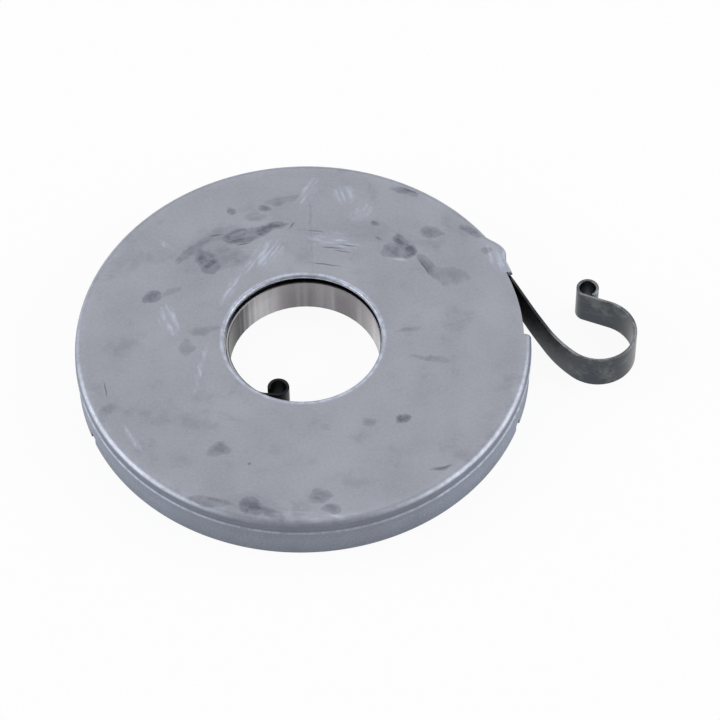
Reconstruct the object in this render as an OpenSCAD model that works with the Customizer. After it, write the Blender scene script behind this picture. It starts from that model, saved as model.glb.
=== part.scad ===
// Flat power spring in its pressed steel case, as fitted to a recoil starter.
// The case axis is Z. The case stands on Z = 0 with its open side down and its
// flat cover up. The outer hook leaves the case on the +X side.

/* [Case] */
// outside diameter at the shoulder
case_diameter = 90; // [60:1:140]
// height from the open rim to the top of the cover
case_height = 9.4; // [6:0.1:20]
// thickness of the sheet that the case is pressed from
sheet = 0.8; // [0.4:0.1:1.5]
// outside radius of the corner between cover and wall
corner_radius = 1.5; // [1:0.1:3]
// diameter of the hole that the pulley hub reaches through
hub_diameter = 31.4; // [20:0.2:50]
// rounding of the hub hole's upper edge
hub_lip_radius = 0.35; // [0.1:0.05:0.6]

/* [Draw line] */
// depth of the draw line below the top of the cover
draw_line_depth = 3.1; // [2.7:0.1:5]
// how much the wall steps in below the draw line
draw_step = 0.2; // [0.1:0.05:0.5]
// radius of the small bead that runs round at the draw line
bead_radius = 0.3; // [0.2:0.05:0.6]
// depth of the fine groove that runs round just under the corner
groove_depth = 2; // [1.7:0.05:2.2]
// radius that the groove is rounded to
groove_radius = 0.45; // [0.2:0.05:0.5]
// how far the groove bites into the sheet
groove_bite = 0.2; // [0.05:0.05:0.25]

/* [Slot and lug] */
// azimuth where the strip starts to run straight out of the coil
exit_azimuth = 29.2; // [10:0.1:60]
// angle from there to the slot's edge on the lug side
slot_lead_angle = 4; // [2:0.1:5]
// angle that the slot takes up round the wall
slot_angle = 25; // [18:0.5:40]
// how far the cover's edge stands back from the shoulder in the slot
slot_inset = 1.4; // [1:0.1:3]
// angle from where the strip leaves the coil back to the middle of the lug
lug_lead_angle = 1; // [0:0.5:5]
// radius of the pressed-out lug beside the slot
lug_radius = 5.3; // [4:0.1:8]
// how far the lug stands out past the shoulder
lug_height = 1.2; // [0.5:0.1:2]
// how far the lug's flat lies below the top of the cover
lug_drop = 0.1; // [0.05:0.05:0.5]
// bend radius of the guide lip at the slot's edge
lip_bend_radius = 3; // [2:0.1:6]
// angle that the guide lip is turned outwards
lip_bend_angle = 34; // [10:1:60]
// how far the guide lip's top lies below the top of the cover
lip_drop = 0.85; // [0.85:0.05:1.5]

/* [Rim notches] */
// azimuths of the two relief notches in the open rim
notch_azimuths = [-157, -20.5];
// width of a notch along the rim
notch_width = 2; // [1:0.1:4]
// height of a notch above the rim
notch_height = 1.6; // [0.5:0.1:3]

/* [Strip] */
// gap between the strip's upper edge and the inside of the cover
cover_clearance = 0.8; // [0.2:0.1:2]
// thickness of the spring strip
strip_thickness = 0.6; // [0.3:0.05:0.8]
// number of half turns in the coil, an odd number
half_turns = 57; // [41:2:61]
// gap between the outermost turn and the wall
wall_clearance = 0.2; // [0.1:0.05:0.4]
// how far the innermost turn stands inside the hub hole
hub_reveal = 0.7; // [0.2:0.1:2]

/* [Outer hook] */
// straight run from the coil out through the slot
lead_length = 21; // [12:0.1:35]
// radius of the slight bend after the straight run
lead_bend_radius = 25; // [20:1:80]
// angle of the slight bend
lead_bend_angle = 19; // [5:0.5:30]
// radius of the hook's round bend
hook_radius = 7.4; // [5:0.1:12]
// angle of the hook's round bend
hook_angle = 199.5; // [150:0.5:215]
// straight run from the bend to the outer eye
tongue_length = 5.5; // [2:0.1:8]

/* [Eyes] */
// inside diameter of the outer eye
outer_eye_bore = 3.3; // [2:0.1:5]
// how far the outer eye is rolled
outer_eye_wrap = 305; // [280:1:310]
// inside diameter of the inner eye
inner_eye_bore = 3.1; // [2:0.1:4]
// how far the inner eye is rolled
inner_eye_wrap = 290; // [280:1:300]

/* [Inner tail] */
// angle that the innermost turn runs on past the last joint
tail_turn_angle = 22; // [5:1:60]
// radius of the bend that turns the tail off the coil
tail_bend_radius = 4; // [3:0.1:8]
// angle of that bend
tail_bend_angle = 33.5; // [20:0.5:60]
// straight run from the bend to the inner eye
tail_length = 2.3; // [1:0.1:5]

/* [Hidden] */
// facets of a full circle in the preview
$fn = 96;
// every cut runs past its surface by this much
overrun = 1;
// hooks and eyes are drawn with a corner at least this often, in degrees
bend_step = 6;
// how much the guide lip loses on each face where it is turned out
lip_thinning = sheet / 20;
// how far the guide lip's bend starts inside the wall, in degrees
lip_root_angle = 4;
// material reamed out of a rolled eye
ream = strip_thickness / 15;

case_radius = case_diameter / 2;
wall_radius = case_radius - draw_step;
cavity_radius = wall_radius - sheet;
hub_radius = hub_diameter / 2;
draw_line_height = case_height - draw_line_depth;
strip_width = case_height - sheet - cover_clearance;

// Each half turn of the coil starts where the last one ends. Their radii are
// kept to round values, so that the ends meet exactly.
radius_unit = 0.002;
function to_unit(value) = round(value / radius_unit) * radius_unit;
exit_reach = to_unit(cavity_radius - wall_clearance - strip_thickness / 2);
half_step = to_unit((exit_reach - hub_radius + hub_reveal) / half_turns);
entry_reach = exit_reach - half_turns * half_step;
tail_radius = entry_reach - half_step / 2;

slot_end = exit_azimuth - slot_lead_angle;
slot_start = slot_end - slot_angle;
lug_azimuth = exit_azimuth + lug_lead_angle;
lug_reach = case_radius + lug_height - lug_radius;

spring_case();
power_spring();

// Case

// One half of a shallow dish seen from the side: flat top, rounded corner.
module dish_profile(radius, height, corner) {
  square([radius - corner, height]);
  square([radius, height - corner]);
  translate([radius - corner, height - corner]) circle(corner);
}

// Wall and cover before anything is cut out: wide shoulder over a narrower wall.
module case_blank() {
  rotate_extrude() {
    difference() {
      intersection() {
        dish_profile(case_radius, case_height, corner_radius);
        translate([0, draw_line_height]) square([case_radius, draw_line_depth]);
      }
      translate([case_radius + groove_radius - groove_bite, case_height - groove_depth])
        circle(groove_radius, $fn = 32);
    }
    square([wall_radius, draw_line_height + draw_step]);
    translate([wall_radius, draw_line_height]) circle(bead_radius, $fn = 32);
  }
}

// The lug bulges the wall and the edge of the cover out beside the slot.
module at_lug() {
  rotate([0, 0, lug_azimuth]) translate([lug_reach, 0, 0]) children();
}

module lug_blank() {
  at_lug() rotate_extrude()
    dish_profile(lug_radius, case_height - lug_drop, corner_radius);
}

// Space inside the case, open at the bottom.
module cavity() {
  inner_corner = corner_radius - sheet;
  height = case_height - sheet + overrun;
  translate([0, 0, -overrun]) {
    rotate_extrude() dish_profile(cavity_radius, height, inner_corner);
    at_lug() rotate_extrude()
      dish_profile(lug_radius - sheet, height - lug_drop, inner_corner);
  }
}

// Hole for the pulley hub, with its upper edge rounded over.
module hub_hole() {
  translate([0, 0, -overrun]) cylinder(r = hub_radius, h = case_height + 2 * overrun);
  rotate_extrude() difference() {
    translate([hub_radius - overrun, case_height - hub_lip_radius])
      square([hub_lip_radius + overrun, hub_lip_radius + overrun]);
    translate([hub_radius + hub_lip_radius, case_height - hub_lip_radius])
      circle(hub_lip_radius, $fn = 32);
  }
}

// The slot takes away the wall and the rounded corner, up to the flat cover.
module slot_cut() {
  depth = slot_inset + lug_height + 2 * overrun;
  rotate([0, 0, slot_start]) translate([0, 0, -overrun])
    rotate_extrude(angle = slot_angle)
      translate([case_radius - slot_inset, 0])
        square([depth, case_height + 2 * overrun]);
}

// Small relief notches in the open rim.
module notch_cuts() {
  for (azimuth = notch_azimuths)
    rotate([0, 0, azimuth])
      translate([cavity_radius - overrun, -notch_width / 2, -overrun])
        cube([sheet + 2 * overrun, notch_width, notch_height + overrun]);
}

// End of the wall at the slot, turned outwards so that the strip runs off it.
// It is ironed a little thinner than the wall that it grows out of.
module guide_lip() {
  lip_height = case_height - lip_drop;
  lip_sheet = sheet - 2 * lip_thinning;
  bend_centre = wall_radius - lip_thinning + lip_bend_radius;
  rotate([0, 0, slot_end]) translate([bend_centre, 0, 0])
    rotate([0, 0, 180 - lip_root_angle])
      rotate_extrude(angle = lip_bend_angle + lip_root_angle)
        translate([lip_bend_radius, 0]) square([lip_sheet, lip_height]);
}

module spring_case() {
  color([0.66, 0.68, 0.72]) {
    difference() {
      union() {
        case_blank();
        lug_blank();
      }
      cavity();
      hub_hole();
      slot_cut();
      notch_cuts();
    }
    guide_lip();
  }
}

// Spring

// A place on the strip's middle line is [x, y, heading]. The functions below
// carry it along a straight run or round a bend (left turns are positive).
function along(place, length) =
  [place[0] + length * cos(place[2]), place[1] + length * sin(place[2]), place[2]];

function round_bend(place, radius, angle) =
  let (side = sign(angle) * radius, heading = place[2] + angle)
    [place[0] + side * (sin(heading) - sin(place[2])),
     place[1] - side * (cos(heading) - cos(place[2])),
     heading];

function bend_places(place, radius, angle) =
  let (steps = ceil(abs(angle) / bend_step))
    [for (i = [1 : steps]) round_bend(place, radius, angle * i / steps)];

function last(places) = places[len(places) - 1];
function reversed(places) = [for (i = [len(places) - 1 : -1 : 0]) places[i]];
function beside(place, offset) =
  [place[0] - offset * sin(place[2]), place[1] + offset * cos(place[2])];

// Outline of a strip that follows the places, half its thickness either side.
module strip_along(places) {
  half = strip_thickness / 2;
  linear_extrude(strip_width) polygon(concat(
    [for (place = places) beside(place, half)],
    [for (place = reversed(places)) beside(place, -half)]
  ));
}

// An eye is rolled a little tight, then reamed to a true round bore.
function eye_radius(bore) = (bore + strip_thickness) / 2 - ream;

module eye_bore(place, bore, side) {
  centre = beside(place, side * eye_radius(bore));
  translate([centre[0], centre[1], -overrun])
    cylinder(d = bore, h = strip_width + 2 * overrun);
}

// Half turns from the hub outwards, about two centres by turns, so that they
// meet with the same direction.
module coil() {
  for (turn = [1 : half_turns])
    rotate([0, 0, turn % 2 == 1 ? 0 : 180]) translate([half_step / 2, 0, 0])
      strip_arc(tail_radius + turn * half_step, 180);
}

// A length of the coil round the Z axis, from the +X direction.
module strip_arc(radius, angle) {
  rotate_extrude(angle = angle)
    translate([radius - strip_thickness / 2, 0])
      square([strip_thickness, strip_width]);
}

// From the outermost turn through the slot to the hook and its eye.
module outer_hook() {
  start = [exit_reach, 0, -90];
  lead_end = along(start, lead_length);
  lead_bend = bend_places(lead_end, lead_bend_radius, lead_bend_angle);
  hook = bend_places(last(lead_bend), hook_radius, hook_angle);
  tongue_end = along(last(hook), tongue_length);
  eye = bend_places(tongue_end, eye_radius(outer_eye_bore), -outer_eye_wrap);
  difference() {
    strip_along(concat([start, lead_end], lead_bend, hook, [tongue_end], eye));
    eye_bore(tongue_end, outer_eye_bore, -1);
  }
}

// From the innermost turn to the eye that the pulley hub takes hold of.
module inner_tail() {
  start = [-entry_reach, 0, -90];
  turn_on = bend_places(start, tail_radius, tail_turn_angle);
  tail_bend = bend_places(last(turn_on), tail_bend_radius, tail_bend_angle);
  tail_end = along(last(tail_bend), tail_length);
  eye = bend_places(tail_end, eye_radius(inner_eye_bore), inner_eye_wrap);
  difference() {
    strip_along(concat([start], turn_on, tail_bend, [tail_end], eye));
    eye_bore(tail_end, inner_eye_bore, 1);
  }
}

module power_spring() {
  color([0.36, 0.37, 0.4]) rotate([0, 0, exit_azimuth]) {
    coil();
    outer_hook();
    inner_tail();
  }
}
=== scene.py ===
"""Dresses a flat power spring in its pressed steel case, and sets it on a studio floor.

All places are metres in the part's own frame: the case axis is Z, the case stands on
Z = 0 with its open side down, and the outer hook leaves on the +X side.
"""

import math

import bmesh
import bpy
from bpy.props import FloatProperty, FloatVectorProperty, IntProperty, PointerProperty
from mathutils import Matrix, Vector


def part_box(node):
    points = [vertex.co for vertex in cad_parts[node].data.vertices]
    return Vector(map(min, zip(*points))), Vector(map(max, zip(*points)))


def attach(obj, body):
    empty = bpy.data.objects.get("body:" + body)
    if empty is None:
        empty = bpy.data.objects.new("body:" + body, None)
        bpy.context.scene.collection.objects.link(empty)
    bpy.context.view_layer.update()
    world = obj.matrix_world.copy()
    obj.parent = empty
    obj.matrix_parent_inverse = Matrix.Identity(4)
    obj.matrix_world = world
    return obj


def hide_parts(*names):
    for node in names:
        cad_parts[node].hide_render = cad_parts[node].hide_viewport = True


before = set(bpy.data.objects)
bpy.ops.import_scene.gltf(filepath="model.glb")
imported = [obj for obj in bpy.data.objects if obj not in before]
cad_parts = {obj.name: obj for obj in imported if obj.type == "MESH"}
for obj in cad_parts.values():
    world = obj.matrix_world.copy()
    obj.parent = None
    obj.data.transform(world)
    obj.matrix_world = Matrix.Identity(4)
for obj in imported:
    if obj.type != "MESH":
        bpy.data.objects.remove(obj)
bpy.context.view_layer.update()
case_low, case_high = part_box("spring_case")
strip_low, strip_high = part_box("power_spring")

bl_info = {
    "name": "Power Spring in a Pressed Case",
    "version": (1, 0, 0),
    "blender": (4, 5, 0),
    "location": "View3D > Sidebar > Power Spring",
    "description": "Builds a flat power spring, its pressed case and a studio to show them in",
    "category": "Object",
}

MM = 0.001
HAIR = 0.02 * MM  # too small to see: the slack where a place is tested, and the gap over the floor
CORNER_SLACK = 0.02  # share of the corner's radius by which its rounding stops short
UP = Vector((0, 0, 1))
QUARTER_TURN = math.pi / 2
HALF_TURN = math.pi


# Sizes and colours


def length(name, description, millimetres):
    """A size that the panel shows as a length."""
    return FloatProperty(
        name=name, description=description, default=millimetres * MM, min=0, unit="LENGTH"
    )


def angle(name, description, degrees):
    """A size that the panel shows in degrees."""
    return FloatProperty(
        name=name, description=description, default=math.radians(degrees), subtype="ANGLE"
    )


def colour(name, description, value):
    """A colour that the panel shows as a swatch."""
    return FloatVectorProperty(
        name=name, description=description, default=value, size=3, min=0, max=1, subtype="COLOR"
    )


class CaseSettings(bpy.types.PropertyGroup):
    height: FloatProperty(
        name="Height",
        description="From the open rim to the top of the cover",
        default=case_high.z - case_low.z,
        unit="LENGTH",
    )
    shoulder_radius: length("Shoulder radius", "Outside radius just below the cover", 45)
    wall_radius: length("Wall radius", "Outside radius below the draw line", 44.8)
    sheet: length("Sheet", "Thickness of the pressed sheet", 0.8)
    corner_radius: length("Corner radius", "Outside radius between cover and wall", 1.5)
    fine_edge: length("Fine edge", "Rounding of the sheet's sharpest corners", 0.1)
    cut_edge: length("Cut edge", "Softening of the edges that a cut leaves", 0.08)
    hub_radius: length("Hub radius", "Radius of the hole in the cover", 15.5)
    hub_lip: length("Hub lip", "Rounding of the hole's upper edge", 0.45)
    draw_line_depth: length("Draw line depth", "Depth of the draw line below the cover", 2.9)
    groove_depth: length("Groove depth", "Depth of the groove under the corner", 2.05)
    groove_bite: length("Groove bite", "How far that groove bites into the sheet", 0.3)
    bead_reach: length("Bead reach", "How far the draw line stands out from the wall", 0.3)
    slot_start: angle("Slot start", "Azimuth of the slot's edge away from the lug", 0.2)
    slot_end: angle("Slot end", "Azimuth of the slot's edge beside the lug", 25.2)
    eave_end: angle("Eave end", "Azimuth down to which the corner covers the strip", 21.4)
    lug_azimuth: angle("Lug azimuth", "Azimuth of the middle of the pressed-out lug", 28.9)
    lug_half_angle: angle("Lug half angle", "Angle from the lug's middle to its foot", 6)
    lug_height: length("Lug height", "How far the lug stands out past the shoulder", 1.35)
    lug_root_radius: length("Lug root radius", "Where the lug starts to leave the cover", 40.5)
    lip_thickness: length("Lip thickness", "Thickness of the guide lip", 0.72)
    lip_edge: length("Lip edge", "Rounding of the guide lip's edges", 0.12)
    lip_root_angle: angle("Lip root angle", "How far the guide lip reaches into the wall", 6)
    lip_bend_radius: length("Lip bend radius", "Bend radius of the guide lip", 3)
    lip_bend_angle: angle("Lip bend angle", "How far the guide lip is turned out", 7)
    lip_push: length("Lip push", "How far the corner stands out where the wall ends", 0.2)
    lip_drop: length("Lip drop", "How far the guide lip's top lies below the cover", 1.6)
    notch_azimuth_left: angle("Left notch", "Azimuth of the rim notch on the left", -157)
    notch_azimuth_right: angle("Right notch", "Azimuth of the rim notch on the right", -20.5)
    notch_half_angle: angle("Notch half angle", "Angle from a notch's middle to its side", 1.25)
    notch_height: length("Notch height", "Height of the notches above the rim", 1.6)
    steps: IntProperty(name="Steps", description="Steps of the sheet round the axis", default=720)
    sheet_colour: colour("Sheet", "Clean zinc-coated sheet", (0.375, 0.39, 0.44))
    # painted shade: a darker sheet for the wall, standing for the dimmer light it reflects
    shaded_wall_colour: colour("Wall", "Drawn sheet of the wall", (0.262, 0.29, 0.352))
    # also used for the painted shade in the groove under the corner and below the bead
    grime_and_shade_colour: colour("Grime", "Fingermarks and oil smears", (0.118, 0.13, 0.166))
    # also used for the painted highlights on the corner, the bead and the hole's lip
    rub_and_highlight_colour: colour("Rubbed sheet", "Sheet rubbed bright", (0.56, 0.61, 0.75))


class StripSettings(bpy.types.PropertyGroup):
    width: FloatProperty(
        name="Width",
        description="Width of the strip along the case axis",
        default=strip_high.z - strip_low.z,
        unit="LENGTH",
    )
    thickness: length("Thickness", "Thickness of the strip", 0.6)
    edge_radius: length("Edge radius", "Rounding of the strip's four long edges", 0.13)
    half_turns: IntProperty(name="Half turns", description="Half turns in the coil", default=57)
    half_step: length("Half step", "How much the radius grows each half turn", 0.5)
    entry_reach: length("Entry reach", "From the axis to where the coil starts", 15)
    exit_azimuth: angle("Exit azimuth", "Azimuth where the last half turn would end", 29.2)
    lean_angle: angle("Lean angle", "How much sooner the strip leaves it, to lean out", 3.6)
    lean_length: length("Lean length", "Straight run from the coil under the lug", 6)
    lean_radius: length("Lean radius", "Radius of the bend at the guide lip", 55)
    lead_angle: angle("Lead angle", "How much the lead then slants back to the case", 2.4)
    lead_length: length("Lead length", "Slanted run out through the slot", 5.25)
    settle_radius: length("Settle radius", "Radius of the bend that takes the slant away", 100)
    settle_length: length("Settle length", "Straight run after the slanted one", 2.5)
    lead_bend_radius: length("Lead bend radius", "Radius of the slight bend", 25)
    lead_bend_angle: angle("Lead bend angle", "Angle of the slight bend", 19)
    hook_radius: length("Hook radius", "Radius of the hook's round bend", 7.4)
    hook_angle: angle("Hook angle", "Angle of the hook's round bend", 199.5)
    tongue_length: length("Tongue length", "Straight run from the hook to its eye", 5.5)
    outer_eye_bore: length("Outer eye bore", "Inside diameter of the outer eye", 3.3)
    outer_eye_wrap: angle("Outer eye wrap", "How far the outer eye is rolled", 313)
    tail_turn_angle: angle("Tail turn", "How far the strip runs on inside the coil", 22)
    tail_bend_radius: length("Tail bend radius", "Radius of the bend off the coil", 4)
    tail_bend_angle: angle("Tail bend angle", "Angle of the bend off the coil", 33.5)
    tail_length: length("Tail length", "Straight run from the bend to the inner eye", 2.3)
    inner_eye_bore: length("Inner eye bore", "Inside diameter of the inner eye", 3.1)
    inner_eye_wrap: angle("Inner eye wrap", "How far the inner eye is rolled", 290)
    soft_past: length("Soft past", "Radius outside which the steel is softened and blue", 43.2)
    soft_within: length("Soft within", "Radius inside which it is softened and blue", 14.92)
    bright_colour: colour("Bright steel", "Tempered strip in the coil", (0.215, 0.205, 0.218))
    glint_colour: colour("Glint", "Brightest bars on the turns", (0.85, 0.84, 0.87))
    # also used for a painted reflection that lightens the upper part of the turns
    rolled_and_reflection_colour: colour("Rolled steel", "Rolling lines along the strip", (0.3, 0.28, 0.29))
    # painted shade on the turns' upper edges under the cover
    under_cover_shade_colour: colour("Hidden edge", "Upper edges under the cover", (0.07, 0.07, 0.075))
    blued_colour: colour("Blued steel", "Softened hook and eyes", (0.055, 0.061, 0.070))
    scale_colour: colour("Scale", "Paler patches on the blued steel", (0.13, 0.14, 0.14))
    # also painted shade and dark reflection beside the slot
    oil_and_shade_colour: colour("Oil", "Oil where the strip leaves the case", (0.012, 0.013, 0.016))
    worn_colour: colour("Worn steel", "Bare steel on the blued edges", (0.26, 0.27, 0.29))


class StudioSettings(bpy.types.PropertyGroup):
    floor_radius: length("Floor radius", "Radius of the round floor", 1500)
    floor_colour: colour("Floor", "Pale floor", (0.82, 0.82, 0.83))
    background: FloatProperty(
        name="Background", description="How much of the floor's look is plain white", default=0.93
    )
    key_power: FloatProperty(name="Key lamp", description="Power of the lamp behind", default=1.3)
    side_power: FloatProperty(
        name="Side lamps", description="Power of each side lamp", default=7.5
    )
    dome: FloatProperty(
        name="Dome", description="Brightness of the surrounding dome", default=0.5
    )
    lens: FloatProperty(
        name="Lens", description="Focal length on a sensor 36 mm wide", default=177.9
    )
    tilt: angle("Tilt", "How far the camera looks down", 52.72)
    roll: angle("Roll", "Small turn of the camera about its view", -0.843)
    aim: FloatVectorProperty(
        name="Aim",
        description="Where the camera's axis meets the top of the cover",
        default=(0.01116, -0.00577, 0.0094),
        subtype="TRANSLATION",
    )
    distance: length("Distance", "From the camera to where it aims", 697.1)


# Shader nodes


def place_node(tree, kind, operation=None, **settings):
    """Adds one shader node.

    A setting is one of the node's own, an input's name with _ for a space, or in_ and its number.
    """
    node = tree.nodes.new("ShaderNode" + kind)
    if operation:
        setattr(node, "blend_type" if kind == "Mix" else "operation", operation)
    for key, value in settings.items():
        if hasattr(node, key):
            setattr(node, key, value)
            continue
        name = int(key[3:]) if key.startswith("in_") else key.replace("_", " ")
        set_socket(tree, node.inputs[name], value)
    return node


def set_socket(tree, socket, value):
    """Links a socket to another, or gives it a value."""
    if isinstance(value, bpy.types.NodeSocket):
        tree.links.new(value, socket)
    elif socket.type == "RGBA":
        socket.default_value = (*value[:3], 1.0)
    else:
        socket.default_value = value


def calculate(tree, operation, *values, clamp=False):
    """The result of a math node on numbers or sockets."""
    inputs = {f"in_{i}": value for i, value in enumerate(values)}
    return place_node(tree, "Math", operation, use_clamp=clamp, **inputs).outputs[0]


def chain(tree, operation, first, *others):
    """Takes numbers or sockets together two by two, from the left."""
    for other in others:
        first = calculate(tree, operation, first, other)
    return first


def times(tree, *values):
    """The product of numbers or sockets."""
    return chain(tree, "MULTIPLY", *values)


def plus(tree, *values):
    """The sum of numbers or sockets."""
    return chain(tree, "ADD", *values)


def highest(tree, *values):
    """The highest of numbers or sockets."""
    return chain(tree, "MAXIMUM", *values)


def minus(tree, first, second):
    """The difference of two numbers or sockets."""
    return calculate(tree, "SUBTRACT", first, second)


def swing(tree, noise, reach):
    """Turns noise from 0 to 1 into a swing to both sides of 0."""
    return times(tree, minus(tree, noise, 0.5), reach)


def weigh(tree, base, *parts):
    """A base and what each part adds, given as pairs of a value and its weight."""
    return plus(tree, base, *(times(tree, value, weight) for value, weight in parts))


def spread(tree, value, low, high, to_low=0.0, to_high=1.0):
    """Maps a value smoothly from one range to another, without going past its ends."""
    node = place_node(
        tree,
        "MapRange",
        interpolation_type="SMOOTHSTEP",
        in_0=value,
        in_1=low,
        in_2=high,
        in_3=to_low,
        in_4=to_high,
    )
    return node.outputs[0]


def mottle(tree, vector, scale, detail=4.0, roughness=0.55, distortion=0.0):
    """Cloudy noise from 0 to 1."""
    node = place_node(
        tree,
        "TexNoise",
        Vector=vector,
        Scale=scale,
        Detail=detail,
        Roughness=roughness,
        Distortion=distortion,
    )
    return node.outputs[0]


def stretch(tree, vector, scale):
    """Stretches a pattern."""
    return place_node(tree, "Mapping", Vector=vector, Scale=scale).outputs[0]


def blend_colours(tree, amount, first, second, operation="MIX"):
    """Mixes two colours, or lays the second over the first."""
    node = place_node(tree, "Mix", operation, data_type="RGBA", clamp_factor=True)
    for number, value in ((0, amount), (6, first), (7, second)):
        set_socket(tree, node.inputs[number], value)
    return node.outputs[2]


def coat(tree, base, *layers):
    """Lays colours over a base in turn, given as pairs of a mask and a colour."""
    for mask, layer in layers:
        base = blend_colours(tree, mask, base, layer)
    return base


def shade(tree, base, factor):
    """Lightens or darkens a colour by a factor."""
    grey = place_node(tree, "CombineColor", in_0=factor, in_1=factor, in_2=factor).outputs[0]
    return blend_colours(tree, 1.0, base, grey, "MULTIPLY")


def off_axis(tree, place):
    """A place without its height, and how far it lies from the case axis."""
    flat = place_node(tree, "VectorMath", "MULTIPLY", in_0=place, in_1=(1, 1, 0)).outputs[0]
    return flat, place_node(tree, "VectorMath", "LENGTH", in_0=flat).outputs[1]


def new_group(name, inputs, outputs):
    """An empty shader node group, with its sockets made, and its two ends."""
    group = bpy.data.node_groups.new(name, "ShaderNodeTree")
    for label, kind, value in inputs:
        socket = group.interface.new_socket(label, in_out="INPUT", socket_type="NodeSocket" + kind)
        if value is not None:
            socket.default_value = value
    for label in outputs:
        group.interface.new_socket(label, in_out="OUTPUT", socket_type="NodeSocketFloat")
    start = group.nodes.new("NodeGroupInput")
    end = group.nodes.new("NodeGroupOutput")
    return group, start.outputs, end.inputs


def group_node(tree, group, **inputs):
    """Places a node group in a tree, with its inputs set or linked."""
    node = tree.nodes.new("ShaderNodeGroup")
    node.node_tree = group
    for key, value in inputs.items():
        set_socket(tree, node.inputs[key.replace("_", " ")], value)
    return node.outputs


def oil_smear_group():
    """A smear of oil: ragged at the edge, and darkest where the edge dried.

    Reach is 0 in the middle of a smear and 1 at its edge.
    """
    sockets = (("Reach", "Float", 2.0), ("Ragged", "Float", 0.5))
    group, given, result = new_group("Oil Smear", sockets, ("Mask",))
    reach = plus(group, given["Reach"], swing(group, given["Ragged"], 1.2))
    thin = spread(group, given["Ragged"], 0.4, 0.62, 1.0, 0.5)
    body = times(group, spread(group, reach, 1.12, 0.4), thin)
    rim = times(group, spread(group, reach, 0.6, 0.85), spread(group, reach, 1.1, 0.92))
    mask = calculate(group, "ADD", body, times(group, rim, 0.25), clamp=True)
    group.links.new(mask, result["Mask"])
    return group


def rub_strokes_group():
    """Short strokes side by side, where something rubbed the sheet bright.

    Reach is 0 in the middle of the rubbed place and 1 at its edge.
    """
    sockets = (
        ("Vector", "Vector", None),
        ("Reach", "Float", 2.0),
        ("Ragged", "Float", 0.5),
        ("Turn", "Float", 0.0),
    )
    group, given, result = new_group("Rub Strokes", sockets, ("Mask",))
    reach = plus(group, given["Reach"], swing(group, given["Ragged"], 1.6))
    turn = place_node(group, "CombineXYZ", Z=given["Turn"]).outputs[0]
    lines = place_node(
        group,
        "Mapping",
        vector_type="TEXTURE",
        Vector=given["Vector"],
        Rotation=turn,
        Scale=(6, 1, 1),
    )
    strokes = mottle(group, lines.outputs[0], 1.15, detail=2.5, roughness=0.6)
    chosen = spread(group, strokes, 0.45, 0.64, 0.12, 1.0)
    group.links.new(times(group, spread(group, reach, 1.1, 0.4), chosen), result["Mask"])
    return group


def steel_grain_group():
    """Fine mill grain and soft waviness of rolled steel.

    Shade is a factor for the colour, and the other two run from 0 to 1.
    """
    sockets = (
        ("Vector", "Vector", None),
        ("Fine Scale", "Float", 2.2),
        ("Cloud Scale", "Float", 0.09),
        ("Contrast", "Float", 0.12),
    )
    outputs = ("Shade", "Height", "Clouds")
    group, given, result = new_group("Rolled Steel Grain", sockets, outputs)
    fine = mottle(group, given["Vector"], given["Fine Scale"], detail=3.0, roughness=0.7)
    clouds = mottle(group, given["Vector"], given["Cloud Scale"], detail=3.0, roughness=0.5)
    both = plus(group, times(group, fine, 0.55), times(group, clouds, 0.45))
    factor = plus(group, swing(group, both, given["Contrast"]), 1.0)
    for label, output in zip(outputs, (factor, fine, clouds)):
        group.links.new(output, result[label])
    return group


def hairline_group():
    """Sparse thin scratches that follow one direction, as a mask."""
    sockets = (
        ("Vector", "Vector", None),
        ("Turn", "Float", 0.0),
        ("Length", "Float", 10.0),
        ("Spacing", "Float", 1.0),
        ("Share", "Float", 0.2),
    )
    group, given, result = new_group("Hairline Scratches", sockets, ("Mask",))
    turned = place_node(
        group, "VectorRotate", rotation_type="Z_AXIS", Vector=given["Vector"], Angle=given["Turn"]
    )
    x, y, z = place_node(group, "SeparateXYZ", Vector=turned.outputs[0]).outputs
    along = calculate(group, "DIVIDE", x, given["Length"])
    across = calculate(group, "DIVIDE", y, given["Spacing"])
    lines = place_node(group, "CombineXYZ", X=along, Y=across, Z=z)
    fibre = mottle(group, lines.outputs[0], 1.0, detail=1.0, distortion=0.15)
    ridge = calculate(group, "ABSOLUTE", minus(group, fibre, 0.5))
    thin = spread(group, ridge, 0.012, 0.0)
    where = mottle(group, given["Vector"], 0.11, detail=2.0)
    chosen = spread(group, where, minus(group, 1.0, given["Share"]), 0.85)
    group.links.new(times(group, thin, chosen), result["Mask"])
    return group


def new_material(name):
    """A node material with a Principled shader, and its object coordinates in millimetres."""
    material = bpy.data.materials.new(name)
    material.use_nodes = True
    tree = material.node_tree
    coordinates = tree.nodes.new("ShaderNodeTexCoord").outputs["Object"]
    place = place_node(tree, "VectorMath", "SCALE", in_0=coordinates, Scale=1 / MM).outputs[0]
    return material, tree, tree.nodes["Principled BSDF"], place


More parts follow.
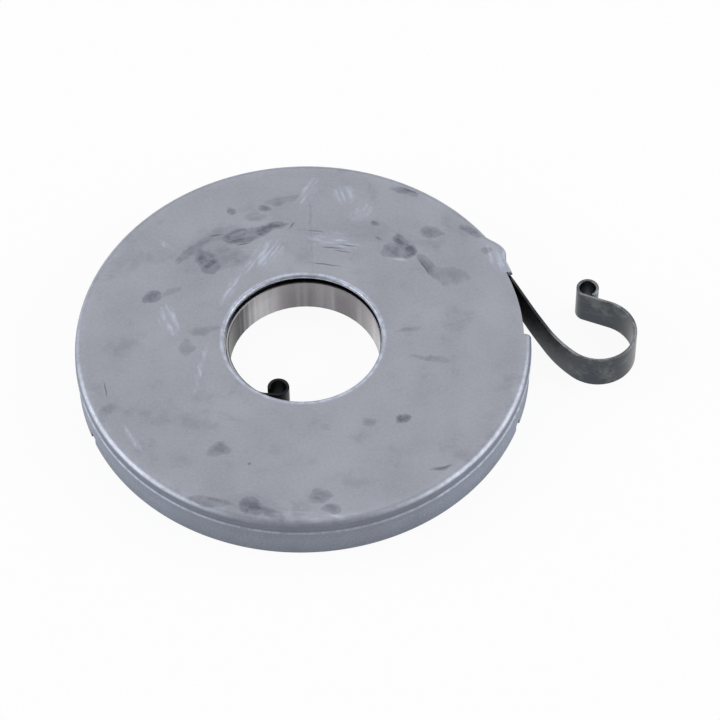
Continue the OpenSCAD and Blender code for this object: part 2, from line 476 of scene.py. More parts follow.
# Handling marks on the cover, in millimetres and degrees: x and y of the middle,
# length, width and direction. The smears are listed under how dark they are.
OIL_SMEARS = {
    0.95: (
        (-12.9, 25.6, 8, 3.6, 4),
        (-12.9, 25.6, 5.6, 1.6, 4),
        (-8.2, 27.2, 5, 2.2, 18),
        (-7, 28, 8, 2.4, 14),
        (-19.3, 19.8, 6.5, 4, 125),
        (-30, 10.5, 4.5, 3.2, 30),
        (19.9, 24.2, 3.4, 2.6, 120),
        (21.2, 21.3, 3.4, 2.8, 60),
        (14.6, 28.6, 2.4, 1, 150),
        (18.9, -20.4, 2.8, 2.4, 0),
        (-10.1, -30.6, 0.8, 0.8, 0),
        (-10, -40.4, 6, 3.4, 150),
    ),
    0.65: (
        (-8.1, 32.8, 2.2, 1.8, 30),
        (-14.2, 32.4, 2.2, 1.8, 60),
        (-22, 22.8, 10, 2.4, 44),
        (18.3, 21.8, 4, 4.6, 100),
        (15, 25, 2.6, 1, 160),
        (25.8, 26.4, 4.2, 3, 160),
        (24.7, 17.6, 6.5, 2.8, 118),
        (20.5, 37.3, 7, 1.6, 152),
        (33.6, 26.4, 5, 1.8, 155),
        (36.9, 22, 2.4, 2, 0),
        (26.7, -32.2, 5, 0.9, 18),
        (-16.1, -26.9, 5, 3.8, 20),
        (-17.8, -39.3, 9, 2.2, 170),
        (-6, -42, 6, 2.4, 150),
        (3.1, -38.3, 4.4, 3.6, 0),
        (5.2, -41.6, 5, 2.4, 0),
    ),
    0.4: (
        (-15.5, 20.3, 9, 5, 10),
        (-17, 26.4, 9, 3, 20),
        (-4, 35.4, 7, 2, 15),
        (-9.5, 30.6, 4, 2, 0),
        (-26.5, 12, 5, 1.6, 35),
        (-19.4, 2.3, 6, 2, 5),
        (-23, -2.1, 4, 3.4, 60),
        (27.5, 15.2, 6, 3, 140),
        (30, 15, 6, 3.6, 165),
        (12.5, -20.8, 3, 2.4, 0),
        (-38, -17, 4, 2.4, 40),
        (24.8, -6, 9, 1.4, 175),
        (21, 1.5, 6, 1.2, 12),
    ),
    0.2: (
        (12, 27, 12, 6, 170),
        (-18, 23, 16, 10, 40),
        (4.5, -22, 3, 2, 0),
        (-35, 20, 8, 5, 50),
        (-9, -41, 14, 6, 160),
        (1.7, 27, 22, 0.6, 90),
    ),
}
# The rubs are listed under the direction of their strokes.
BRIGHT_RUBS = {
    60: (
        (-14.4, 12.6, 10, 2.2, 66),
        (-11, 18, 8, 2.2, 52),
        (-7, 21.5, 9, 6, 50),
        (1.2, 37.6, 9, 3, 68),
        (12, 31.5, 6, 4, 40),
    ),
    105: (
        (-26.5, 5, 9, 4.5, 108),
        (8.5, 36.4, 6, 5, 110),
        (-28, 24.5, 6, 1.4, 140),
        (-33, -24, 8, 1.4, 120),
        (-20, -7, 12, 1.6, 80),
        (38.6, 19.2, 10, 3, 116),
    ),
    -8: (
        (6, 24.5, 12, 5, 172),
        (-3, -42.5, 12, 2.2, 0),
        (6, -43.2, 12, 2.2, 8),
        (18, 19.8, 8, 1.2, 165),
    ),
}
SCRATCHES = (
    (4.5, 18.4, 8, 0.35, 170),
    (6, 22.6, 6, 0.3, 174),
    (8, 21.7, 4.5, 0.3, 170),
    (9, 23.2, 5, 0.3, 173),
    (2.6, 27, 4.5, 0.3, 170),
    (24.2, 17.6, 5.4, 0.5, 118),
    (26.8, -32, 4.5, 0.4, 16),
    (21.5, 37.4, 6, 0.4, 153),
    (-38.5, -12, 5, 0.3, 100),
    (-2.2, 28.6, 2.6, 0.4, 60),
    (-17.5, 26.3, 3.6, 0.5, 12),
    (-12, 23.9, 3.4, 0.4, 10),
)


def patch_reach(tree, vector, patches):
    """How far a place is out of the nearest oval patch: 0 in its middle and 1 at its edge."""
    nearest = 9.0
    for x, y, long, wide, turn in patches:
        mapped = place_node(
            tree,
            "Mapping",
            vector_type="TEXTURE",
            Vector=vector,
            Location=(x, y, 0.0),
            Rotation=(0.0, 0.0, math.radians(turn)),
            Scale=(long / 2.0, wide / 2.0, 1.0),
        )
        reach = place_node(tree, "VectorMath", "LENGTH", in_0=mapped.outputs[0]).outputs[1]
        nearest = calculate(tree, "MINIMUM", nearest, reach)
    return nearest


def lay_marks(tree, marks, vector, mask):
    """The strongest mark at each place, from lists of patches under their key."""
    masks = (mask(key, patch_reach(tree, vector, patches)) for key, patches in marks.items())
    return highest(tree, 0.0, *masks)


def warp(tree, vector, scale, reach):
    """Bends a pattern by soft noise."""
    noise = place_node(tree, "TexNoise", Vector=vector, Scale=scale, Detail=2.0).outputs[1]
    for operation, other in (("SUBTRACT", (0.5, 0.5, 0.5)), ("MULTIPLY", (reach, reach, 0.0))):
        noise = place_node(tree, "VectorMath", operation, in_0=noise, in_1=other).outputs[0]
    return place_node(tree, "VectorMath", "ADD", in_0=vector, in_1=noise).outputs[0]


def ragged_noise(tree, flat, radius):
    """Noise that frays the marks, drawn out in part round the axis, where the sheet was spun."""
    # the streaks' seam is turned to where the cover is clean
    turned = place_node(
        tree, "VectorRotate", rotation_type="Z_AXIS", Vector=flat, Angle=math.radians(-145)
    )
    x, y, _ = place_node(tree, "SeparateXYZ", Vector=turned.outputs[0]).outputs
    azimuth = calculate(tree, "ARCTAN2", y, x)
    rounds = place_node(tree, "CombineXYZ", X=radius, Y=times(tree, azimuth, 6.0)).outputs[0]
    streaks = mottle(tree, rounds, 0.8, detail=4.0, roughness=0.6)
    speckles = mottle(tree, flat, 0.55, detail=5.0, roughness=0.6)
    return times(tree, plus(tree, speckles, streaks), 0.5)


def handling_marks(tree, groups, flat, radius):
    """Masks of the smears, the rubs and the scratches on the cover."""
    ragged = ragged_noise(tree, flat, radius)

    def smear(strength, reach):
        mask = group_node(tree, groups["smear"], Reach=reach, Ragged=ragged)["Mask"]
        return times(tree, mask, strength)

    def rub(degrees, reach):
        turn = math.radians(degrees)
        rubs = groups["rub"]
        return group_node(tree, rubs, Vector=flat, Reach=reach, Ragged=ragged, Turn=turn)["Mask"]

    smears = lay_marks(tree, OIL_SMEARS, warp(tree, flat, 0.22, 3.2), smear)
    rubs = lay_marks(tree, BRIGHT_RUBS, flat, rub)
    scratches = spread(tree, patch_reach(tree, warp(tree, flat, 0.5, 0.5), SCRATCHES), 1.1, 0.3)
    hairlines = group_node(
        tree, groups["hairline"], Vector=flat, Turn=0.5, Length=16.0, Spacing=2.4, Share=0.4
    )["Mask"]
    return smears, rubs, highest(tree, scratches, times(tree, hairlines, 0.45))


def painted_highlights_and_shade(tree, case, place, radius, height, outside):
    """Masks of painted highlights on the corner, the bead and the hole's lip, and of painted shade
    in the groove under the corner and below the bead.
    """
    top = case.height / MM
    line = top - case.draw_line_depth / MM
    shoulder = case.shoulder_radius / MM
    hub = case.hub_radius / MM

    normal = tree.nodes.new("ShaderNodeTexCoord").outputs["Normal"]
    level = place_node(tree, "SeparateXYZ", Vector=normal).outputs[2]
    # the corner's painted highlight follows how far its surface tilts from level
    tilted = spread(tree, level, 0.995, 0.85, 0.35, 1.0)
    near_shoulder = spread(tree, radius, shoulder - 2.8, shoulder - 1.0)
    corner = times(tree, near_shoulder, spread(tree, height, top - 0.9, top - 0.55), tilted)
    over = spread(tree, height, line - 0.2, line - 0.05)
    bead = times(tree, over, spread(tree, height, line + 0.4, line + 0.25), outside)
    near_hub = spread(tree, radius, hub + 1.1, hub + 0.6)
    lip = times(tree, near_hub, spread(tree, height, top - 0.8, top - 0.6))
    patchy = spread(tree, mottle(tree, place, 0.8), 0.35, 0.62, 0.35, 1.0)
    highlit_edges = highest(tree, times(tree, corner, 0.4), times(tree, lip, 0.8), times(tree, bead, 0.6))

    # painted shade in the groove under the corner, and fainter below the bead
    neck = spread(tree, height, line + 0.2, line + 0.5)
    neck = times(tree, neck, spread(tree, height, top - 0.45, top - 0.9))
    under_bead = spread(tree, height, line - 3.0, line - 0.4)
    under_bead = times(tree, under_bead, spread(tree, height, line - 0.05, line - 0.2))
    painted_shade = times(tree, highest(tree, neck, times(tree, under_bead, 0.3)), outside)
    return times(tree, highlit_edges, patchy), painted_shade


def zinc_sheet_material(case, groups):
    """Dull zinc-coated sheet steel with fingermarks, smears, rubs and hairline scratches, with
    painted highlights on its edges and painted shade on its wall, in its groove and below its
    bead.
    """
    material, tree, shader, place = new_material("Zinc Sheet")
    height = place_node(tree, "SeparateXYZ", Vector=place).outputs[2]
    flat, radius = off_axis(tree, place)
    top = case.height / MM
    drawn = case.wall_radius / MM
    on_cover = spread(tree, height, top - 0.5, top - 0.1)
    outside = spread(tree, radius, drawn - 0.6, drawn - 0.3)
    wall = times(tree, spread(tree, height, top - 0.5, top - 1.0), outside)

    grain = group_node(tree, groups["grain"], Vector=place, Fine_Scale=1.8, Contrast=0.55)
    marks = handling_marks(tree, groups, flat, radius)
    smears, rubs, lines = (times(tree, mask, on_cover) for mask in marks)
    stains = mottle(tree, place, 0.16, detail=6.0, roughness=0.6)
    dark = highest(tree, smears, spread(tree, stains, 0.52, 0.74, 0.0, 0.22))
    # the first mask is painted highlight on the edges, which are also made smoother; the second is
    # painted shade
    worn, painted_shade = painted_highlights_and_shade(tree, case, place, radius, height, outside)
    speckle = spread(tree, mottle(tree, place, 4.0, detail=3.0), 0.5, 0.75, 0.0, 0.45)

    clouded = [0.94 * channel for channel in case.sheet_colour]
    sheet = coat(
        tree,
        clouded,
        (grain["Clouds"], case.sheet_colour),
        # painted shade: the wall is laid in a darker sheet colour than the cover
        (wall, case.shaded_wall_colour),
        (times(tree, speckle, wall), case.rub_and_highlight_colour),
        (times(tree, rubs, 0.6), case.rub_and_highlight_colour),
        # painted highlights on the corner, the bead and the hole's lip
        (worn, case.rub_and_highlight_colour),
        (dark, case.grime_and_shade_colour),
        (times(tree, lines, 0.8), case.grime_and_shade_colour),
        # painted shade in the groove and below the bead
        (times(tree, painted_shade, 0.5), case.grime_and_shade_colour),
    )
    rough = weigh(tree, 0.44, (stains, 0.12), (dark, -0.06), (worn, -0.12), (wall, 0.08))
    relief = times(tree, grain["Height"], weigh(tree, 0.3, (wall, 0.5)))
    relief = weigh(tree, relief, (grain["Clouds"], 2.5), (lines, -0.5))
    link_surface(tree, shader, shade(tree, sheet, grain["Shade"]), rough, relief, 0.1 * MM)
    tree.links.new(spread(tree, wall, 0.0, 1.0, 0.75, 0.2), shader.inputs["Metallic"])
    return material


def spring_steel_material(strip, groups):
    """Polished strip steel in the coil, turning blue-black at the softened ends."""
    material, tree, shader, place = new_material("Spring Steel")
    x, _, height = place_node(tree, "SeparateXYZ", Vector=place).outputs
    _, radius = off_axis(tree, place)
    top = strip.width / MM
    inmost = strip.entry_reach / MM
    past = strip.soft_past / MM
    within = strip.soft_within / MM
    reach = plus(tree, radius, swing(tree, mottle(tree, place, 0.3), 1.2))
    outer = spread(tree, reach, past, past + 1.2)
    inner = spread(tree, radius, within, within - 0.12)
    blued = highest(tree, outer, inner)

    grain = group_node(
        tree, groups["grain"], Vector=place, Fine_Scale=1.5, Cloud_Scale=0.25, Contrast=0.3
    )
    lines = mottle(tree, stretch(tree, place, (0.05, 0.05, 3.0)), 1.0, detail=4.0, roughness=0.7)
    bars = mottle(tree, stretch(tree, place, (1.0, 1.0, 0.04)), 0.3, detail=2.0, roughness=0.5)
    patches = mottle(tree, place, 0.28, detail=4.0, roughness=0.65)
    upper_edge = spread(tree, height, top - 0.28, top - 0.05)
    edges = highest(tree, spread(tree, height, 0.28, 0.05), upper_edge)

    # painted glints make the turns brightest at both ends of what the hole shows; a painted
    # reflection lightens their upper part, and painted shade darkens their upper edges under the
    # cover
    ends = calculate(tree, "ABSOLUTE", minus(tree, x, 3.5))
    glints = spread(tree, bars, 0.42, 0.75, 0.0, 0.3)
    glints = plus(tree, glints, spread(tree, ends, 5.0, 16.0, 0.0, 0.7))
    past_inmost = spread(tree, radius, inmost + 0.2, inmost + 0.7, 0.5, 1.0)
    bright = coat(
        tree,
        strip.bright_colour,
        (glints, strip.glint_colour),
        # painted reflection, lighter towards the top of the turns
        (spread(tree, height, top - 4.3, top - 0.2, 0.0, 0.4), strip.rolled_and_reflection_colour),
        (spread(tree, lines, 0.5, 0.75, 0.0, 0.3), strip.rolled_and_reflection_colour),
        # painted shade on the upper edges under the cover, half as much on the inmost turn
        (times(tree, upper_edge, past_inmost), strip.under_cover_shade_colour),
    )

    # beside the slot the strip is painted near black, for oil and for the shade and dark
    # reflections there, reaching further out along its upper part
    frayed = spread(tree, patches, 0.38, 0.6, 0.25, 0.9)
    worn = times(tree, edges, frayed, spread(tree, radius, 20.0, 40.0, 0.25, 1.0))
    slant = minus(tree, reach, times(tree, height, 0.5))
    dark = coat(
        tree,
        strip.blued_colour,
        (spread(tree, patches, 0.46, 0.66, 0.0, 0.75), strip.scale_colour),
        (spread(tree, lines, 0.55, 0.75, 0.0, 0.15), strip.worn_colour),
        (worn, strip.worn_colour),
        (spread(tree, slant, 47.0, 43.5, 0.0, 0.85), strip.oil_and_shade_colour),
    )
    steel = shade(tree, blend_colours(tree, blued, bright, dark), grain["Shade"])
    rough = weigh(tree, 0.2, (blued, 0.12), (patches, 0.14))
    rough = minus(tree, rough, spread(tree, ends, 10.0, 17.0, 0.0, 0.1))
    relief = plus(tree, times(tree, lines, 0.5), times(tree, grain["Height"], 0.5))
    link_surface(tree, shader, steel, rough, relief, 0.03 * MM)
    shader.inputs["Metallic"].default_value = 1.0
    return material


def link_surface(tree, shader, base, roughness, relief, depth):
    """Gives a shader its colour, its roughness and a relief of some depth."""
    bump = place_node(tree, "Bump", Height=relief, Strength=0.3, Distance=depth)
    tree.links.new(base, shader.inputs["Base Color"])
    tree.links.new(roughness, shader.inputs["Roughness"])
    tree.links.new(bump.outputs[0], shader.inputs["Normal"])


def floor_material(settings):
    """Pale floor that the camera and reflections see close to white, with a soft shadow."""
    material = bpy.data.materials.new("Pale Floor")
    material.use_nodes = True
    tree = material.node_tree
    tree.nodes.remove(tree.nodes["Principled BSDF"])
    matt = place_node(tree, "BsdfDiffuse", Color=settings.floor_colour)
    plain = place_node(tree, "Emission", Color=(1, 1, 1), Strength=1.0)
    path = tree.nodes.new("ShaderNodeLightPath").outputs
    place = tree.nodes.new("ShaderNodeTexCoord").outputs["Object"]
    radius = place_node(tree, "VectorMath", "LENGTH", in_0=place).outputs[1]
    # reflections see white round the case, and a little less of it through the hole
    around = spread(tree, radius, 0.043, 0.052)
    inside = spread(tree, radius, 0.018, 0.0145, 0.0, 0.75)
    mirrored = times(tree, path["Is Glossy Ray"], highest(tree, around, inside))
    seen = highest(tree, path["Is Camera Ray"], mirrored, path["Is Transmission Ray"])
    amount = times(tree, seen, settings.background)
    mix = place_node(
        tree, "MixShader", in_0=amount, in_1=matt.outputs[0], in_2=plain.outputs[0]
    )
    tree.links.new(mix.outputs[0], tree.nodes["Material Output"].inputs["Surface"])
    return material


# Shapes


def polar(radius, azimuth):
    """A place, or a run, in the plane of the rim."""
    return Vector((radius * math.cos(azimuth), radius * math.sin(azimuth), 0))


def join(whole, part, turn=0.0):
    """Adds one mesh to another, turned about the case axis, and frees it."""
    data = bpy.data.meshes.new("part")
    part.to_mesh(data)
    part.free()
    data.transform(Matrix.Rotation(turn, 4, "Z"))
    whole.from_mesh(data)
    bpy.data.meshes.remove(data)


def weld(mesh):
    """Merges the parts of a mesh where they meet."""
    bmesh.ops.remove_doubles(mesh, verts=mesh.verts[:], dist=0.1 * HAIR)


def round_corners(mesh, corners, radius, segments):
    """Rounds corners of a section that still has its face."""
    bmesh.ops.bevel(
        mesh,
        geom=corners,
        affect="VERTICES",
        offset=radius,
        segments=segments,
        profile=0.5,
        material=-1,
    )


class StripRun:
    """Carries a flat strip's section along its middle line, one bend or straight at a time.

    Each part is made by itself and joined on, because a short mesh is quick to sweep.
    """

    def __init__(self, whole, thickness, low, high, edge_radius, position, heading):
        self.whole = whole
        self.thickness = thickness
        self.low, self.high = low, high
        self.edge_radius = edge_radius
        self.position = position
        self.heading = heading

    def section(self):
        """A new mesh that holds the strip's section across the heading, with rounded corners."""
        mesh = bmesh.new()
        middle = self.position + UP * (self.low + self.high) / 2
        upright = Matrix.Rotation(QUARTER_TURN, 4, "X")
        turn = Matrix.Rotation(self.heading + QUARTER_TURN, 4, "Z")
        size = Matrix.Diagonal((self.thickness, self.high - self.low, 1, 1))
        place = Matrix.Translation(middle) @ turn @ upright @ size
        grid = bmesh.ops.create_grid(mesh, x_segments=1, y_segments=1, size=0.5, matrix=place)
        round_corners(mesh, grid["verts"], self.edge_radius, segments=3)
        return mesh

    def outline(self):
        """That section without its face, ready to be swept."""
        mesh = self.section()
        bmesh.ops.delete(mesh, geom=mesh.faces[:], context="FACES_ONLY")
        return mesh

    def cap(self):
        """Closes the strip where it starts or ends."""
        join(self.whole, self.section())

    def bend(self, radius, turn, steps):
        """Sweeps the strip round a bend. A turn to the left is positive."""
        side = polar(1, self.heading + QUARTER_TURN)
        centre = self.position + side * math.copysign(radius, turn)
        part = self.outline()
        swept = part.verts[:] + part.edges[:]
        bmesh.ops.spin(part, geom=swept, cent=centre, axis=UP, angle=turn, steps=steps)
        join(self.whole, part)
        self.position = centre + Matrix.Rotation(turn, 3, "Z") @ (self.position - centre)
        self.heading += turn

    def straight(self, distance):
        """Sweeps the strip straight on."""
        step = polar(distance, self.heading)
        part = self.outline()
        made = bmesh.ops.extrude_edge_only(part, edges=part.edges[:])["geom"]
        moved = [item for item in made if isinstance(item, bmesh.types.BMVert)]
        bmesh.ops.translate(part, verts=moved, vec=step)
        join(self.whole, part)
        self.position += step


def wound_strip(strip):
    """The whole strip: coil, outer hook with its eye, and inner tail with its eye."""
    mesh = bmesh.new()
    start = polar(-strip.entry_reach, strip.exit_azimuth)
    outwards = strip.exit_azimuth + QUARTER_TURN
    first_radius = strip.entry_reach - strip.half_step / 2
    last_radius = first_radius + strip.half_turns * strip.half_step
    section = (strip.thickness, 0, strip.width, strip.edge_radius)

    tail = StripRun(mesh, *section, start.copy(), outwards - HALF_TURN)
    tail.bend(first_radius, strip.tail_turn_angle, steps=8)
    tail.bend(strip.tail_bend_radius, strip.tail_bend_angle, steps=10)
    tail.straight(strip.tail_length)
    tail.bend((strip.inner_eye_bore + strip.thickness) / 2, strip.inner_eye_wrap, steps=56)
    tail.cap()

    run = StripRun(mesh, *section, start.copy(), outwards)
    for done in range(1, strip.half_turns):
        run.bend(first_radius + done * strip.half_step, -HALF_TURN, steps=30)
    run.bend(last_radius, strip.lean_angle - HALF_TURN, steps=30)
    run.straight(strip.lean_length)
    run.bend(strip.lean_radius, -strip.lean_angle - strip.lead_angle, steps=8)
    run.straight(strip.lead_length)
    run.bend(strip.settle_radius, strip.lead_angle, steps=4)
    run.straight(strip.settle_length)
    run.bend(strip.lead_bend_radius, strip.lead_bend_angle, steps=10)
    run.bend(strip.hook_radius, strip.hook_angle, steps=56)
    run.straight(strip.tongue_length)
    run.bend((strip.outer_eye_bore + strip.thickness) / 2, -strip.outer_eye_wrap, steps=60)
    run.cap()
    weld(mesh)
    return mesh


def cover_edge(case):
    """Radius where the flat cover ends and the corner starts."""
    return case.shoulder_radius - (1 - CORNER_SLACK) * case.corner_radius


def sheet_section(case):
    """Half section of the pressed sheet, from the outer rim over the cover and back."""
    inside = case.wall_radius - case.sheet
    under = case.height - case.sheet
    line = case.height - case.draw_line_depth
    shoulder_foot = case.height - (1 + CORNER_SLACK) * case.corner_radius
    # rings across the cover, so that its faces aren't too long
    shares = (0.2, 0.45, 0.7, 0.92)
    rings = [case.hub_radius + share * (inside - case.hub_radius) for share in shares]
    fine = case.fine_edge
    # radius, height, and the rounding with its segments
    corners = (
        (inside, 0, fine, 2),
        (inside, case.notch_height, 0, 0),
        (inside, under, case.corner_radius - case.sheet, 6),
        *((ring, under, 0, 0) for ring in reversed(rings)),
        (case.hub_radius, under, fine, 2),
        (case.hub_radius, case.height, case.hub_lip, 5),
        *((ring, case.height, 0, 0) for ring in rings),
        (case.shoulder_radius, case.height, case.shoulder_radius - cover_edge(case), 10),
        (case.shoulder_radius - 0.1 * case.groove_bite, shoulder_foot, 0, 0),
        (case.shoulder_radius - case.groove_bite, case.height - case.groove_depth, 2 * fine, 5),
        (case.shoulder_radius - 0.8 * case.groove_bite, line + case.bead_reach, fine, 2),
        (case.wall_radius + case.bead_reach, line, 0.4 * case.bead_reach, 4),
        (case.wall_radius, line - case.bead_reach, fine, 2),
        (case.wall_radius, case.notch_height, 0, 0),
        (case.wall_radius, 0, fine, 2),
    )
    mesh = bmesh.new()
    verts = [mesh.verts.new((radius, 0, height)) for radius, height, _, _ in corners]
    mesh.faces.new(verts)
    for vert, (_, _, rounding, segments) in zip(verts, corners):
        if rounding:
            round_corners(mesh, [vert], rounding, segments)
    bmesh.ops.delete(mesh, geom=mesh.faces[:], context="FACES_ONLY")
    return mesh


def spun_sheet(case):
    """The pan before anything is cut out, spun a sector at a time from the slot's edge."""
    whole = bmesh.new()
    sectors = 12
    turn = math.tau / sectors
    steps = case.steps // sectors
    for sector in range(sectors):
        part = sheet_section(case)
        swept = part.verts[:] + part.edges[:]
        bmesh.ops.spin(part, geom=swept, cent=(0, 0, 0), axis=UP, angle=turn, steps=steps)
        join(whole, part, case.slot_start + sector * turn)
    weld(whole)
    return whole


def cut_gap(mesh, start, end, takes, is_level):
    """Cuts a gap through the sheet between two azimuths, and closes its level and end edges."""
    gone = []
    for face in mesh.faces:
        centre = face.calc_center_median()
        past = (math.atan2(centre.y, centre.x) - start) % math.tau
        if past < end - start and takes(centre):
            gone.append(face)
    bmesh.ops.delete(mesh, geom=gone, context="FACES")
    level = [edge for edge in mesh.edges if edge.is_boundary and all(map(is_level, edge.verts))]
    bmesh.ops.bridge_loops(mesh, edges=level)
    ends = [edge for edge in mesh.edges if edge.is_boundary]
    bmesh.ops.holes_fill(mesh, edges=ends, sides=0)


def cut_slot(mesh, case):
    """The slot takes away the wall, and short of the eave the corner too, up to the flat cover."""
    under = case.height - case.sheet
    foot = case.height - (1 + CORNER_SLACK / 2) * case.corner_radius
    inner_edge = case.wall_radius - case.corner_radius - HAIR
    cut_gap(
        mesh,
        case.slot_start,
        case.slot_end,
        lambda centre: centre.xy.length > inner_edge and centre.z < foot - HAIR,
        lambda vert: abs(vert.co.z - foot) < 2 * HAIR,
    )
    cut_gap(
        mesh,
        case.slot_start,
        case.eave_end,
        lambda centre: centre.xy.length > inner_edge,
        lambda vert: vert.co.z > under - HAIR and vert.co.xy.length < cover_edge(case) + HAIR,
    )


def cut_notches(mesh, case):
    """Two small relief notches in the open rim."""
    inside = case.wall_radius - case.sheet - HAIR
    top = case.notch_height
    for azimuth in (case.notch_azimuth_left, case.notch_azimuth_right):
        cut_gap(
            mesh,
            azimuth - case.notch_half_angle,
            azimuth + case.notch_half_angle,
            lambda centre: centre.z < top and centre.xy.length > inside,
            lambda vert: abs(vert.co.z - top) < HAIR,
        )


def press_lug(mesh, case):
    """Pushes the cover's edge, the corner and the wall out in a bulge that clears the strip.

    Beyond the wall's end the bulge dies away along the corner that covers the strip.
    """
    root = case.lug_root_radius
    full = cover_edge(case)
    for vert in mesh.verts:
        radius = vert.co.xy.length
        azimuth = math.atan2(vert.co.y, vert.co.x)
        past = azimuth - case.lug_azimuth
        if radius < root or azimuth < case.eave_end or past > case.lug_half_angle:
            continue
        rest = case.lip_push if past < 0 else 0
        half = case.lug_half_angle if past > 0 else case.lug_azimuth - case.slot_end
        share = min(1, abs(past) / half)
        push = rest + (case.lug_height - rest) * (1 - share**2) ** 2
        if azimuth < case.slot_end:
            push *= (azimuth - case.eave_end) / (case.slot_end - case.eave_end)
        reach = min(1, (radius - root) / (full - root))
        vert.co += polar(push * reach**2 * (3 - 2 * reach), azimuth)


def turn_out_lip(mesh, case):
    """End of the wall at the slot, turned outwards so that the strip runs off it."""
    radius = case.lip_bend_radius + case.sheet / 2
    bend_reach = case.wall_radius + case.lip_push + case.lip_bend_radius
    away = case.slot_end + HALF_TURN - case.lip_root_angle
    lip = StripRun(
        mesh,
        case.lip_thickness,
        HAIR,
        case.height - case.lip_drop,
        case.lip_edge,
        polar(bend_reach, case.slot_end) + polar(radius, away),
        away + QUARTER_TURN,
    )
    lip.cap()
    lip.bend(radius, case.lip_bend_angle + case.lip_root_angle, steps=14)
    lip.cap()


def pressed_case(case):
    """The case as one pressed sheet."""
    mesh = spun_sheet(case)
    for press in (cut_slot, cut_notches, press_lug, turn_out_lip):
        press(mesh, case)
    weld(mesh)
    return mesh


def finish_piece(name, mesh, material, bevel=0.0):
    """Turns a bmesh into a named object with smooth faces, crisp flats and a material."""
    bmesh.ops.recalc_face_normals(mesh, faces=mesh.faces[:])
    for face in mesh.faces:
        face.smooth = True
    piece = new_object(name, mesh, material)
    if bevel:
        edge = piece.modifiers.new("Soft edges", "BEVEL")
        edge.width = bevel
        edge.segments = 2
        edge.limit_method = "ANGLE"
        edge.angle_limit = math.radians(40)
    weighted = piece.modifiers.new("Flat faces stay flat", "WEIGHTED_NORMAL")
    weighted.mode = "FACE_AREA"
    weighted.weight = 80
    weighted.keep_sharp = False
    return piece


def new_object(name, mesh, material):
    """Puts a bmesh in the scene as an object with one material, and frees it."""
    data = bpy.data.meshes.new(name)
    mesh.to_mesh(data)
    mesh.free()
    data.materials.append(material)
    made = bpy.data.objects.new(name, data)
    bpy.context.scene.collection.objects.link(made)
    return made


# Studio


def lay_floor(settings):
    """A round floor just under the rim."""
    mesh = bmesh.new()
    place = Matrix.Translation(-UP * HAIR)
    radius = settings.floor_radius
    bmesh.ops.create_circle(mesh, cap_ends=True, segments=96, radius=radius, matrix=place)
    new_object("studio_floor", mesh, floor_material(settings))


# name, its power in the settings, width and depth, and place; each faces the case
LAMPS = (
    ("back_lamp", "key_power", (1.0, 0.6), (0.0, 0.6, 0.8)),
    ("left_lamp", "side_power", (1.2, 0.8), (-0.9, -0.1, 0.5)),
    ("right_lamp", "side_power", (1.2, 0.8), (0.9, -0.1, 0.5)),
)


def hang_lamps(scene, settings):
    """One large soft lamp behind the case and one at each side."""
    for name, power, size, place in LAMPS:
        data = bpy.data.lights.new(name, "AREA")
        data.shape = "RECTANGLE"
        data.size, data.size_y = size
        data.energy = getattr(settings, power)
        lamp = bpy.data.objects.new(name, data)
        lamp.location = place
        lamp.rotation_mode = "QUATERNION"
        lamp.rotation_quaternion = (-Vector(place)).to_track_quat("-Z", "Y")
        scene.collection.objects.link(lamp)


def light_dome(scene, settings):
    """Even light from above, dimmer from the camera's side, and plain white behind the object."""
    world = bpy.data.worlds.new("Studio Dome")
    world.use_nodes = True
    scene.world = world
    tree = world.node_tree
    background = tree.nodes["Background"]
    path = tree.nodes.new("ShaderNodeLightPath").outputs
    direction = tree.nodes.new("ShaderNodeTexCoord").outputs["Generated"]
    depth = place_node(tree, "SeparateXYZ", Vector=direction).outputs[1]
    level = times(tree, spread(tree, depth, -0.8, 0.2, 0.17, 1.0), settings.dome)
    seen = highest(tree, path["Is Camera Ray"], path["Is Transmission Ray"])
    strength = place_node(tree, "Mix", data_type="FLOAT", in_0=seen, in_2=level, in_3=1.0)
    tree.links.new(strength.outputs[0], background.inputs["Strength"])
    background.inputs["Color"].default_value = (1, 1, 1, 1)


def aim_camera(scene, settings):
    """The camera at the photograph's angle."""
    forward = Vector((0, math.cos(settings.tilt), -math.sin(settings.tilt)))
    turn = Matrix.Rotation(-settings.roll, 3, forward)
    right = turn @ Vector((1, 0, 0))
    up = right.cross(forward)
    data = bpy.data.cameras.new("photo_camera")
    data.lens = settings.lens
    data.sensor_width = 36
    data.clip_end = 10
    camera = bpy.data.objects.new("photo_camera", data)
    place = Matrix((right, up, -forward)).transposed().to_4x4()
    place.translation = Vector(settings.aim) - forward * settings.distance
    camera.matrix_world = place
    scene.collection.objects.link(camera)
    scene.camera = camera


# Operators


def make_groups():
    """The shader node groups that the two metals share, made once."""
    makers = {
        "smear": ("Oil Smear", oil_smear_group),
        "rub": ("Rub Strokes", rub_strokes_group),
        "grain": ("Rolled Steel Grain", steel_grain_group),
        "hairline": ("Hairline Scratches", hairline_group),
    }
    made = bpy.data.node_groups
    return {key: made.get(name) or maker() for key, (name, maker) in makers.items()}


class PressSpringCase(bpy.types.Operator):
    """Press the case from one sheet, with its slot, lug, draw line and notches"""

    bl_idname = "object.press_spring_case"
    bl_label = "Press Spring Case"

    def execute(self, context):
        case = context.scene.power_case
        material = zinc_sheet_material(case, make_groups())
        piece = finish_piece("pressed_case", pressed_case(case), material, bevel=case.cut_edge)
        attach(piece, "root")
        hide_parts("spring_case")
        return {"FINISHED"}


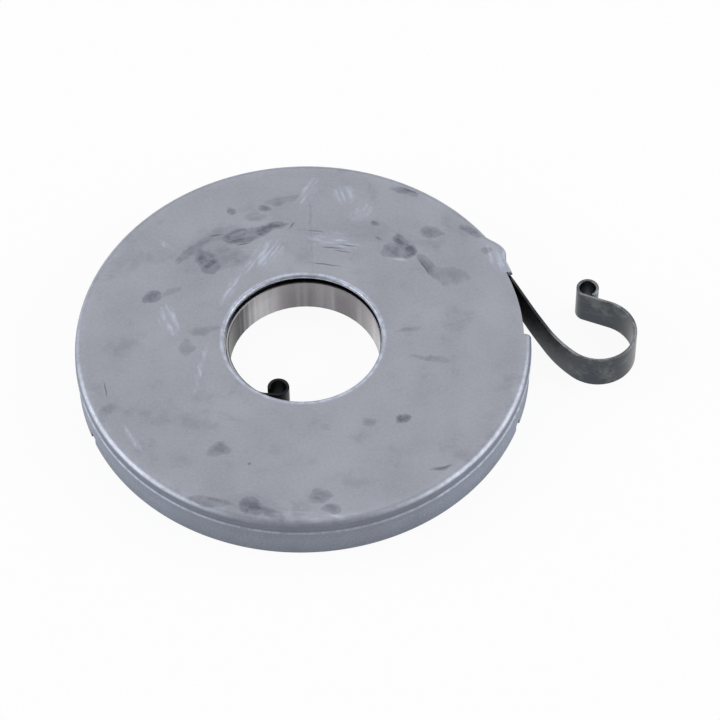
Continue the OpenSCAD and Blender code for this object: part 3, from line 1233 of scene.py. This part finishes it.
class WindPowerSpring(bpy.types.Operator):
    """Wind the strip into its coil, with the hook and the two rolled eyes"""

    bl_idname = "object.wind_power_spring"
    bl_label = "Wind Power Spring"

    def execute(self, context):
        strip = context.scene.power_strip
        material = spring_steel_material(strip, make_groups())
        piece = finish_piece("wound_strip", wound_strip(strip), material)
        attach(piece, "root")
        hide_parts("power_spring")
        return {"FINISHED"}


class SetUpStudio(bpy.types.Operator):
    """Lay the floor, place the lamps and aim the camera"""

    bl_idname = "scene.set_up_spring_studio"
    bl_label = "Set Up Studio"

    def execute(self, context):
        scene = context.scene
        settings = scene.power_studio
        lay_floor(settings)
        hang_lamps(scene, settings)
        light_dome(scene, settings)
        aim_camera(scene, settings)
        scene.view_settings.view_transform = "Standard"
        return {"FINISHED"}


class PowerSpringPanel(bpy.types.Panel):
    """Builds each piece from its sizes"""

    bl_idname = "VIEW3D_PT_power_spring"
    bl_label = "Power Spring"
    bl_space_type = "VIEW_3D"
    bl_region_type = "UI"
    bl_category = "Power Spring"

    def draw(self, context):
        for operator, owner in STEPS:
            self.layout.operator(operator.bl_idname)
            settings = getattr(context.scene, owner)
            for name in settings.__annotations__:
                self.layout.prop(settings, name)


STEPS = (
    (PressSpringCase, "power_case"),
    (WindPowerSpring, "power_strip"),
    (SetUpStudio, "power_studio"),
)
SETTINGS = {
    "power_case": CaseSettings,
    "power_strip": StripSettings,
    "power_studio": StudioSettings,
}
CLASSES = (*SETTINGS.values(), *(operator for operator, _ in STEPS), PowerSpringPanel)


def register():
    """Makes the settings, the operators and the panel known."""
    for item in CLASSES:
        bpy.utils.register_class(item)
    for name, settings in SETTINGS.items():
        setattr(bpy.types.Scene, name, PointerProperty(type=settings))


def unregister():
    """Takes them away again."""
    for name in SETTINGS:
        delattr(bpy.types.Scene, name)
    for item in reversed(CLASSES):
        bpy.utils.unregister_class(item)


def main():
    """Builds everything."""
    register()
    bpy.ops.object.press_spring_case()
    bpy.ops.object.wind_power_spring()
    bpy.ops.scene.set_up_spring_studio()


if __name__ == "__main__":
    main()
